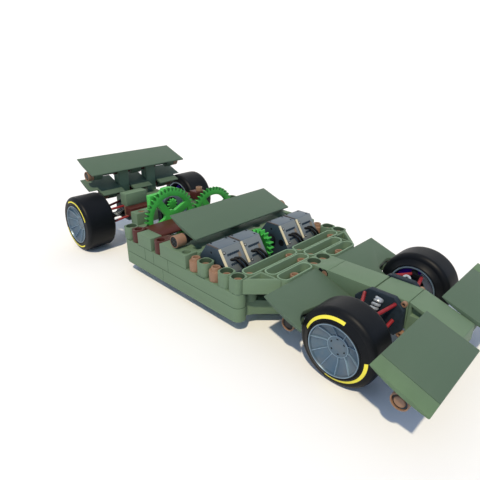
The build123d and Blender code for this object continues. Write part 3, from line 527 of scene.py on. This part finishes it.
g = Build("motor_strips")
for x in (-4.95, -2.99, 1.05, 3.01):
    # cream strip at the near edge of the sloping front
    g.mat = 0
    g.block(slope, x + 0.01, x + 0.19, -0.46, 1.06, -0.03, 0.035)
    # brown-grey seam over the top
    g.mat = 1
    g.block(top, x + 0.01, x + 0.13, 2.42, 3.52, -0.03, 0.018)
    # two grilles made of short dark bars, painted shade standing in for open slots
    g.mat = 2
    for v, a, b in ((0.53, 0.52, 1.60), (-0.15, 0.54, 1.28)):
        n = int((b - a) / 0.09)
        for i in range(n):
            u = x + a + (b - a) * i / n
            g.block(slope, u, u + 0.075, v - 0.085 + 0.02 * (i % 2), v + 0.065 + 0.02 * (i % 2), -0.02, 0.012)
    # warm patch beside the upper grille
    g.mat = 3
    g.block(slope, x + 1.40, x + 1.66, 0.14, 0.50, -0.02, 0.008)
    # steel heads of the screws in dark seats, the seats painted shade
    for u, v in ((0.33, 0.74), (0.42, -0.38)):
        g.mat = 4
        g.stud(slope, x + u, v, 0.115, -0.02, 0.014)
        g.mat = 5
        g.stud(slope, x + u - 0.01, v + 0.01, 0.07, 0.0, 0.04)
    # more dark screw seats on the top, painted shade
    g.mat = 4
    for u, v in ((0.34, 3.45), (1.68, 2.58), (1.70, 3.42)):
        g.stud(top, x + u, v, 0.075, -0.02, 0.012)
    # open round holes shown as dark discs on the end face: painted shade
    for u, v, r in ((2.05, 2.56, 0.25), (3.05, 3.4, 0.08)):
        g.stud(motor_end(x), u, v, r, -0.02, 0.008, 20)
g.done("cream", "root", "motor_grey", extra=("seam", "slot", "motor_warm", "dark", "screw"))


def rounded(pts, cut_back, n=6):
    """Polyline with its corners replaced by short curves."""
    pts = [Vector(p) for p in pts]
    out = [pts[0]]
    for a, b, c in zip(pts, pts[1:], pts[2:]):
        p, q = b + (a - b).normalized() * cut_back, b + (c - b).normalized() * cut_back
        for i in range(n + 1):
            t = i / n
            out.append(p * (1 - t) ** 2 + b * 2 * t * (1 - t) + q * t * t)
    return [tuple(v) for v in out + [pts[-1]]]


LEAD = ((0.62, 1.95, 3.0), (0.98, 1.72, 3.06), (1.10, 1.30, 2.78),
        (1.28, 1.02, 2.2), (1.28, 1.02, 1.4), (1.28, 1.62, 1.12))
g = Build("motor_lead_pairs")
for x in (-4.95, -2.99, 1.05, 3.01):
    for step in (0.0, 0.34):
        path = rounded([(x + step + a, b, c) for a, b, c in LEAD], 0.15)
        g.tube(path, 0.085, 12)
        # short thicker sleeve where the lead leaves the motor
        g.tube([path[0], tuple(Vector(path[0]).lerp(Vector(path[1]), 0.8))], 0.105, 12)
g.done("lead", "root", "lead_black", ["motor_leads"])

# ------------------------------------------------------------ wing bushings
g = Build("wing_bushing_tubes")
for (yc, zc), x0, x1, kind in (((-11.0, 1.5), 6.1, 6.7, "peg"), ((-3.95, 1.5), 5.22, 5.55, "dark"),
                               ((6.0, 3.5), 4.2, 5.8, "capped"), ((20.0, 3.42), 3.25, 3.9, "dark"),
                               ((20.0, 5.4), 4.42, 4.95, "dark")):
    for s in (-1, 1):
        c = (yc, zc)
        if kind == "capped":
            # tan barrel, black collar behind it, black face with small holes; the holes are blue-grey discs, painted
            # shade
            g.mat = 0
            g.ring([(s * x, r) for x, r in ((4.98, 0.2), (4.98, 0.42), (5.01, 0.44), (5.77, 0.44), (5.79, 0.42),
                                            (5.79, 0.39), (5.72, 0.39), (5.72, 0.2))], "x", c, 40)
            g.mat = 4
            g.disc("x", c, s * 5.66, s * 5.765, 0.395, 40)
            g.mat = 1
            g.ring([(s * x, r) for x, r in ((4.62, 0.2), (4.62, 0.36), (4.66, 0.39), (4.94, 0.39), (4.97, 0.36),
                                            (4.97, 0.2))], "x", c, 40)
            g.mat = 3
            g.ring([(s * x, r) for x, r in ((4.22, 0.2), (4.22, 0.29), (4.6, 0.29), (4.6, 0.2))], "x", c, 28)
            g.mat = 2
            for i in range(6):
                a = 2 * pi * i / 6 + 0.3
                g.disc("x", (yc + 0.24 * cos(a), zc + 0.24 * sin(a)), s * 5.70, s * 5.772, 0.04, 12)
            g.disc("x", c, s * 5.70, s * 5.774, 0.05, 16)
            continue
        g.mat = 0
        body_out = [(x0, 0.2), (x0, 0.41), (x0 + 0.03, 0.44), (x1 - 0.03, 0.44), (x1, 0.42), (x1, 0.375),
                    (x1 - 0.13, 0.365), (x1 - 0.13, 0.2)]
        g.ring([(s * x, r) for x, r in body_out], "x", c, 40)
        # black ring at the bottom of the counterbore: painted shade in the bore
        g.mat = 1
        g.ring([(s * x, r) for x, r in ((x1 - 0.135, 0.19), (x1 - 0.135, 0.36), (x1 - 0.10, 0.36), (x1 - 0.10, 0.19))],
               "x", c, 32)
        if kind == "peg":
            # rounded core that fills the bore
            g.mat = 0
            g.ring([(s * x, r) for x, r in ((x1 - 0.2, 0.0001), (x1 - 0.2, 0.27), (x1 - 0.04, 0.27), (x1 - 0.005, 0.23),
                                            (x1, 0.0001))], "x", c, 32)
            # blue-grey crescent on one side of the core: painted shadow in the gap
            g.mat = 2
            g.sector("x", c, s * (x1 - 0.09), s * (x1 - 0.075), 0.28, 0.345, 2.6, 4.4, 14)
        else:
            # black disc filling the bore: painted shade inside it
            g.mat = 1
            g.disc("x", c, s * (x1 - 0.2), s * (x1 - 0.02), 0.24, 28)
g.done("tan", "root", "bushing_tan", ["wing_bushings"],
       extra=("black", "motor_dark", "brown", "lead"))

# ------------------------------------------------------------ small fittings
g = Build("nose_and_tail_pins")
for s in (-1, 1):
    # tan bushing ends beside the front suspension blocks
    for y, z, x0, x1, r in ((-8.42, 2.80, 1.02, 1.22, 0.17), (-8.5, 0.95, 1.02, 1.34, 0.2)):
        g.mat = 0
        g.ring([(s * x, q) for x, q in ((x0, 0.09), (x0, r), (x1 - 0.02, r), (x1, r - 0.03), (x1, 0.09))],
               "x", (y, z), 28)
    # pin heads in the nose side, each in a dark ring, with a small dark disc beside them: painted shade in the holes
    g.mat = 0
    g.disc("x", (-3.18, 2.68), s * 0.97, s * 1.03, 0.2, 28)
    g.mat = 1
    g.washer("x", (-3.16, 2.70), s * 0.97, s * 1.012, 0.19, 0.26, 28)
    g.disc("x", (-2.86, 2.84), s * 0.97, s * 1.01, 0.13, 20)
    # brown stop rings on the rear wing pins, beside the struts
    g.mat = 2
    for z in (3.42, 5.4):
        for x0, x1 in ((0.62, 0.98), (2.02, 2.3)):
            g.ring([(s * x, q) for x, q in ((x0, 0.185), (x0, 0.27), (x1, 0.27), (x1, 0.185))], "x", (20.0, z), 24)
g.done("tan", "root", "bushing_tan", extra=("dark", "brown"))


# ------------------------------------------------------------ wheels
# side, inner x, outer x, axle y, axle z, tyre r, rim r, sidewall lean
WHEELS = {
    "front_left": (1, 3.30, 5.73, -7.0, 1.43, 2.28, 1.50, 0.24),
    "front_right": (-1, 3.30, 5.73, -7.0, 1.43, 2.28, 1.50, 0.24),
    "rear_left": (1, 4.30, 7.03, 19.0, 1.60, 2.45, 1.68, 0.03),
    "rear_right": (-1, 4.30, 7.03, 19.0, 1.60, 2.45, 1.68, 0.03),
}
for where, (s, xi, xo, yc, zc, R, q, lean) in WHEELS.items():
    front = where.startswith("front")
    body = "wheel_" + where
    c = (yc, zc)
    k = 0.36

    def wall(r, side=1):
        """Sidewall place at radius r: outer side 1, inner side -1."""
        inset = 0.012 + lean * (r - q) / (R - k - q)
        return xo - inset if side > 0 else xi + inset

    # tyre: leaning sidewalls with a bead groove, rounded shoulders
    t = Build("tyre_" + where + "_rubber")
    prof = [(xi + 0.03, q + 0.02), (xo - 0.03, q + 0.02), (xo - 0.03, q + 0.05), (wall(q + 0.07) - 0.03, q + 0.07),
            (wall(q + 0.10) - 0.03, q + 0.10), (wall(q + 0.12), q + 0.12)]
    prof += [(wall(R - k - 0.02), R - k - 0.02)]
    for i in range(11):
        a = pi / 2 * i / 10
        prof.append((xo - lean - k + (k - 0.012) * cos(a), R - k + (k - 0.004) * sin(a)))
    prof += [(xo - lean - k - 0.35, R), (xi + lean + k + 0.35, R)]
    for i in range(11):
        a = pi / 2 * (1 - i / 10)
        prof.append((xi + lean + k - (k - 0.012) * cos(a), R - k + (k - 0.004) * sin(a)))
    prof += [(wall(R - k - 0.02, -1), R - k - 0.02), (wall(q + 0.12, -1), q + 0.12),
             (xi + 0.05, q + 0.10), (xi + 0.03, q + 0.06)]
    t.ring([(s * x, r) for x, r in prof], "x", c, 128)
    t.done("tyre", body, "tyre_rubber", ["tyre_" + where], angle=30)
    # two yellow bands on the outer sidewall, a mirrored pair on the left side
    band, half = (1.80, 0.08) if front else (2.05, 0.055)
    spans = {"upper": (16, 104), "lower": (176, 283)} if front else {"upper": (62, 160), "lower": (236, 338)}
    r0, r1 = band - half, band + half
    for name, (t0, t1) in spans.items():
        g = Build("tyre_%s_band_%s" % (where, name))
        g.arc([(s * (wall(r0) + 0.008), r0), (s * (wall(r1) + 0.008), r1), (s * (wall(r1) - 0.03), r1),
               (s * (wall(r0) - 0.03), r0)], c, radians(t0), radians(t1), 48)
        g.done("yellow", body, "tyre_rubber")
    # rim: lip, dished face and barrel
    g = Build("rim_%s_face" % where)
    dish, hub = 0.55, 0.62
    face = [(xi + 0.01, q), (xo - 0.01, q), (xo - 0.005, q - 0.03), (xo - 0.05, q - 0.07),
            (xo - 0.16, q - 0.09), (xo - 0.30, q - 0.28), (xo - 0.47, hub + 0.25),
            (xo - dish, hub + 0.06), (xo - dish, hub), (xo - dish + 0.05, hub - 0.02),
            (xo - dish + 0.05, 0.0001), (xo - dish - 0.3, 0.0001),
            (xo - dish - 0.3, hub + 0.08), (xo - 0.6, q - 0.3), (xo - 0.5, q - 0.14), (xi + 0.01, q - 0.14)]
    g.ring([(s * x, r) for x, r in face], "x", c, 96)
    # faces inside the rim, behind the dish, are painted darker: painted shade inside the wheel
    for f in g.bm.faces:
        m = f.calc_center_median()
        x, r = abs(m.x / PITCH), hypot(m.y / PITCH + Y_MID - yc, m.z / PITCH + Z_GROUND - zc)
        f.material_index = 1 if x < xo - 0.62 and 0.3 < r < q - 0.03 else 0
    g.done("rim", body, "rim_blue_grey", ["rim_" + where], extra=("rim_dark",))
    # lighter lip rings, hub edge and ten thin spokes: painted highlight on the edges
    g = Build("rim_%s_spokes" % where)
    g.ring([(s * x, r) for x, r in ((xo - 0.02, q - 0.055), (xo - 0.02, q - 0.012), (xo - 0.001, q - 0.014),
                                    (xo - 0.001, q - 0.045))], "x", c, 96)
    g.ring([(s * x, r) for x, r in ((xo - dish + 0.02, hub - 0.04), (xo - dish + 0.02, hub + 0.015),
                                    (xo - dish + 0.065, hub), (xo - dish + 0.065, hub - 0.03))], "x", c, 64)
    g.ring([(s * x, r) for x, r in ((xi + 0.002, q - 0.085), (xi + 0.002, q - 0.01), (xi + 0.03, q - 0.01),
                                    (xi + 0.03, q - 0.085))], "x", c, 96)
    for i in range(10):
        a = 2 * pi * i / 10 + 0.15
        w = 0.024
        d, n = (cos(a), sin(a)), (-sin(a), cos(a))

        def at(r, off, x):
            return g.bm.verts.new(P(s * x, c[0] + d[0] * r + n[0] * off, c[1] + d[1] * r + n[1] * off))
        rows = []
        for r, up, foot in ((hub - 0.01, xo - dish + 0.06, xo - dish - 0.1),
                            (hub + 0.25, xo - 0.40, xo - 0.6),
                            ((hub + q) / 2, xo - 0.27, xo - 0.55), (q - 0.06, xo - 0.05, xo - 0.4)):
            rows.append([at(r, -w, foot), at(r, -w * 0.7, up), at(r, w * 0.7, up), at(r, w, foot)])
        for A, B in zip(rows, rows[1:]):
            for j in range(3):
                g.face((A[j], B[j], B[j + 1], A[j + 1]))
            g.face((A[3], B[3], B[0], A[0]))
        g.face(rows[0])
        g.face(rows[-1][::-1])
    g.done("rim_light", body, "rim_blue_grey")
    # short dark slots round the hub, flat marks of painted shade
    g = Build("rim_%s_bolt_slots" % where)
    for i in range(6):
        a = 2 * pi * i / 6 + 0.4
        g.sector("x", c, s * (xo - dish + 0.02), s * (xo - dish + 0.056), 0.40, 0.47, a - 0.13, a + 0.13, 6)
    g.done("dark", body, "rim_blue_grey")
    # brake disc with fine vanes, black collar and wheel bolts on the inner side; disc and bolts are near-white, painted
    # light inside the shaded wheel
    xd, rd = (3.84, 1.31) if front else (5.24, 1.23)
    g = Build("rim_%s_brake_disc" % where)
    g.washer("x", c, s * xd, s * (xd + 0.12), 0.4, rd, 72)
    for i in range(40):
        a = 2 * pi * i / 40
        g.sector("x", c, s * (xd - 0.01), s * (xd + 0.001), 0.68, rd - 0.12, a, a + 0.05, 2)
    for i in range(6):
        a = 2 * pi * i / 6
        g.disc("x", (yc + 0.34 * cos(a), zc + 0.34 * sin(a)), s * (xd - 0.03), s * (xd + 0.05), 0.07, 12)
    g.done("disc", body, "rim_blue_grey")
    g = Build("rim_%s_hub" % where)
    g.disc("x", c, s * (3.2 if front else 2.1), s * (xo - 0.8), 0.25, 32)
    g.disc("x", c, s * xd, s * (xo - dish - 0.2), 0.42, 32)
    g.washer("x", c, s * (xd - 0.015), s * (xd + 0.02), 0.42, 0.62, 48)
    g.done("black", body, "rim_blue_grey")

# ------------------------------------------------------------ springs
g = Build("coil_spring_wires")
for s in (-1, 1):
    for p0, p1, r in (((s * 1.62, -7.27, 2.98), (s * 2.3, -7.0, 1.9), 0.17),
                      ((s * 2.62, 18.45, 2.3), (s * 3.3, 18.45, 1.75), 0.2)):
        A, B = Vector(p0), Vector(p1)
        A = A.lerp(B, 0.1)
        wire = 0.09 if r < 0.18 else 0.055
        d = (B - A)
        u = d.normalized().cross(Vector((0, 1, 0))).normalized()
        v = d.normalized().cross(u)
        path = []
        for i in range(181):
            a = 2 * pi * 5.0 * i / 180
            path.append(tuple(A + d * (i / 180) + u * (r * cos(a)) + v * (r * sin(a))))
        g.tube(path, wire, 8)
        for e in (0.0, 1.0):
            ring = [tuple(A + d * e + u * (r * cos(2 * pi * i / 32)) + v * (r * sin(2 * pi * i / 32)))
                    for i in range(33)]
            g.tube(ring, wire, 8)
        g.mat = 1
        g.tube([tuple(A), tuple(B)], 0.10, 12)
        g.mat = 0
g.done("steel", "root", "spring_steel", ["coil_springs"], extra=("dark",))

# ------------------------------------------------------------ studio
m = bpy.data.meshes.new("studio_floor")
bm = bmesh.new()
prof = [(-3.0, 0.0), (0.9, 0.0)]
for i in range(1, 17):
    a = pi / 2 * i / 16
    prof.append((0.9 + 0.7 * sin(a), 0.7 - 0.7 * cos(a)))
prof.append((1.6, 3.0))
ca = sqrt(0.5)
rows = []
for t, z in prof:
    rows.append([bm.verts.new(((t * ca - w * ca), (t * ca + w * ca), z - 0.0001)) for w in (-4.0, 4.0)])
for A, B in zip(rows, rows[1:]):
    bm.faces.new((A[0], A[1], B[1], B[0]))
bmesh.ops.recalc_face_normals(bm, faces=bm.faces)
bm.to_mesh(m)
bm.free()
floor = bpy.data.objects.new("studio_floor", m)
scene.collection.objects.link(floor)
m.materials.append(M["floor"])
m.polygons.foreach_set("use_smooth", [True] * len(m.polygons))

world = bpy.data.worlds.new("studio")
scene.world = world
world.use_nodes = True
bg = world.node_tree.nodes["Background"]
bg.inputs["Color"].default_value = (0.50, 0.66, 1.0, 1.0)
bg.inputs["Strength"].default_value = 0.60

sun = bpy.data.lights.new("key", "SUN")
sun.energy = 3.0
sun.color = (1.0, 0.87, 0.64)
sun.angle = radians(2.5)
so = bpy.data.objects.new("key", sun)
so.rotation_euler = Vector((0.55, 0.35, -1.0)).to_track_quat("-Z", "Y").to_euler()
scene.collection.objects.link(so)

cam = bpy.data.cameras.new("camera")
cam.sensor_width, cam.lens, cam.clip_start = 36.0, 31.177, 0.01
co = bpy.data.objects.new("camera", cam)
co.location = (-0.16928, (-15.83 - Y_MID) * PITCH, 0.12584)
co.rotation_euler = (radians(90 - 23.098), 0.0, radians(-45))
scene.collection.objects.link(co)
scene.camera = co
scene.view_settings.view_transform = "Standard"
